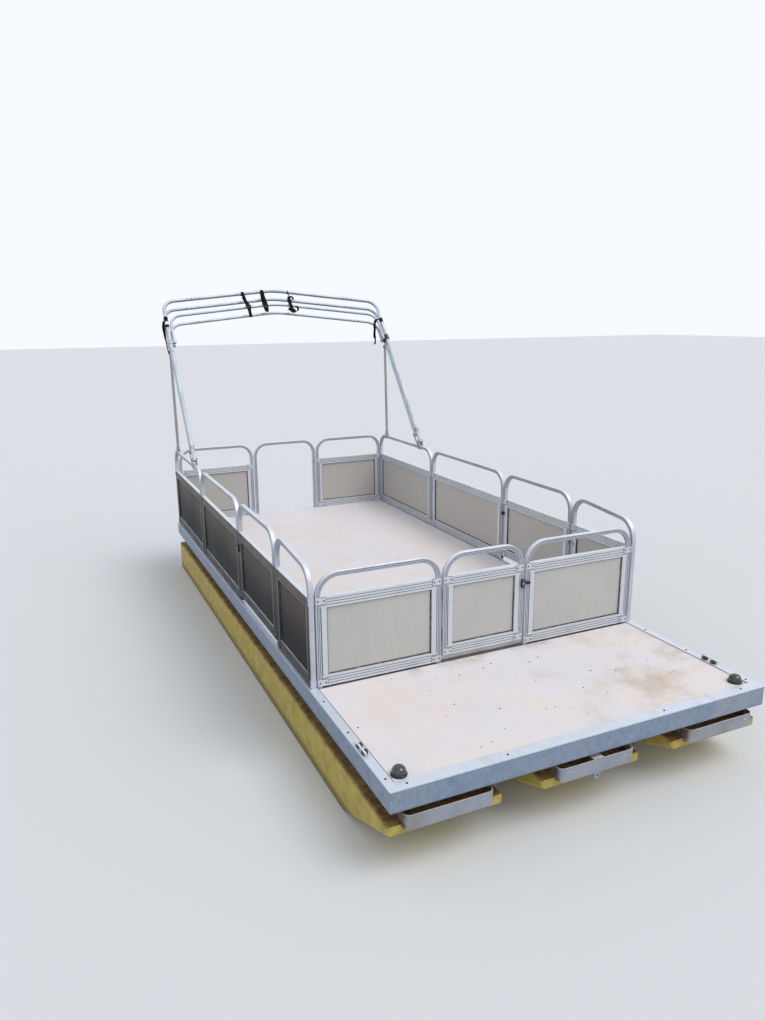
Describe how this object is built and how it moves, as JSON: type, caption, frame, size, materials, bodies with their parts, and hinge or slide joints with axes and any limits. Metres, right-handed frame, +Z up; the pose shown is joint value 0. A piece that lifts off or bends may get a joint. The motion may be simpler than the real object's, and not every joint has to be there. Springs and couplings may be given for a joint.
{
  "type": "pontoon boat",
  "caption": "Small pontoon boat: a flat fenced deck on box floats, with hinged bow and side gates, dome navigation lights and a folded sun-top frame.",
  "frame": {"origin": "on the flat bottom of the centre float, on the centreline at midships", "axes": "+X to port, -Y toward the bow, +Z up"},
  "size_m": [1.982, 4.5454, 2.4347],
  "materials": {
    "float_shell": "satin",
    "under_frame": "matte",
    "deck_coat": "matte",
    "edge_aluminium": "satin",
    "loop_bar": "satin",
    "black_fitting": "matte",
    "red_lens": "gloss",
    "green_lens": "gloss",
    "skin_sheet": "matte",
    "hinge_metal": "satin",
    "top_tube": "satin",
    "strap_webbing": "matte",
    "tube_aluminium": "satin",
    "frame_aluminium": "satin"
  },
  "bodies": {
    "hull": {"float_port": "float_shell", "float_center": "float_shell", "float_starboard": "float_shell", "float_risers": "under_frame", "crossbeams": "under_frame", "deck_sheet": "deck_coat", "bow_fascia": "edge_aluminium", "side_fascias": "edge_aluminium", "stern_fascia": "edge_aluminium", "bow_loops": "loop_bar", "tow_eye": "loop_bar", "nav_light_bases": "black_fitting", "nav_light_port": "red_lens", "nav_light_starboard": "green_lens", "cleat_feet": "black_fitting", "cleat_bars": "loop_bar", "panel_skins": "skin_sheet", "gate_keepers": "black_fitting", "fence_spacers": "black_fitting", "hinge_pins": "hinge_metal", "top_mounts": "hinge_metal", "aft_bow": "top_tube", "aft_bow_slides": "black_fitting", "struts": "top_tube", "strut_sockets": "hinge_metal", "strut_pins": "hinge_metal", "motor_transom": "under_frame", "hoops_port": "tube_aluminium", "frames_port": "frame_aluminium", "hoops_starboard": "tube_aluminium", "frames_starboard": "frame_aluminium", "hoops_bow": "tube_aluminium", "frames_bow": "frame_aluminium", "hoops_stern": "tube_aluminium", "frames_stern": "frame_aluminium"},
    "port_gate": {"port_gate_hoop": "tube_aluminium", "port_gate_frame": "frame_aluminium", "port_gate_skin": "skin_sheet", "port_gate_hinges": "hinge_metal", "port_gate_latch": "black_fitting"},
    "starboard_gate": {"starboard_gate_hoop": "tube_aluminium", "starboard_gate_frame": "frame_aluminium", "starboard_gate_skin": "skin_sheet", "starboard_gate_hinges": "hinge_metal", "starboard_gate_latch": "black_fitting"},
    "bow_gate": {"bow_gate_hoop": "tube_aluminium", "bow_gate_frame": "frame_aluminium", "bow_gate_skin": "skin_sheet", "bow_gate_hinges": "hinge_metal", "bow_gate_latch": "black_fitting"},
    "main_bow_body": {"main_bow": "top_tube", "main_bow_slides": "black_fitting", "top_straps": "strap_webbing"},
    "third_bow_body": {"third_bow": "top_tube"},
    "fourth_bow_body": {"fourth_bow": "top_tube"}
  },
  "joints": [
    {"name": "port_gate_swing", "type": "hinge", "parent": "hull", "child": "port_gate", "pos_m": [0.945, -0.73, 0.7], "axis": [0, 0, 1], "range_deg": [0, 90]},
    {"name": "starboard_gate_swing", "type": "hinge", "parent": "hull", "child": "starboard_gate", "pos_m": [-0.945, -0.73, 0.7], "axis": [0, 0, -1], "range_deg": [0, 90]},
    {"name": "bow_gate_swing", "type": "hinge", "parent": "hull", "child": "bow_gate", "pos_m": [-0.269, -1.25, 0.7], "axis": [0, 0, 1], "range_deg": [0, 90]},
    {"name": "top_fold", "type": "hinge", "parent": "hull", "child": "main_bow_body", "pos_m": [0, 1.348, 1.153], "axis": [1, 0, 0], "range_deg": [0, 76]},
    {"name": "third_bow_fold", "type": "hinge", "parent": "main_bow_body", "child": "third_bow_body", "pos_m": [0, 2.01784, 2.01036], "axis": [1, 0, 0], "range_deg": [-76, 0]},
    {"name": "fourth_bow_fold", "type": "hinge", "parent": "hull", "child": "fourth_bow_body", "pos_m": [0, 2.0533, 1.98265], "axis": [1, 0, 0], "range_deg": [0, 76]}
  ],
  "couplings": [
    {"joint": "third_bow_fold", "follows": "top_fold", "ratio": -1},
    {"joint": "fourth_bow_fold", "follows": "top_fold", "ratio": 1}
  ]
}
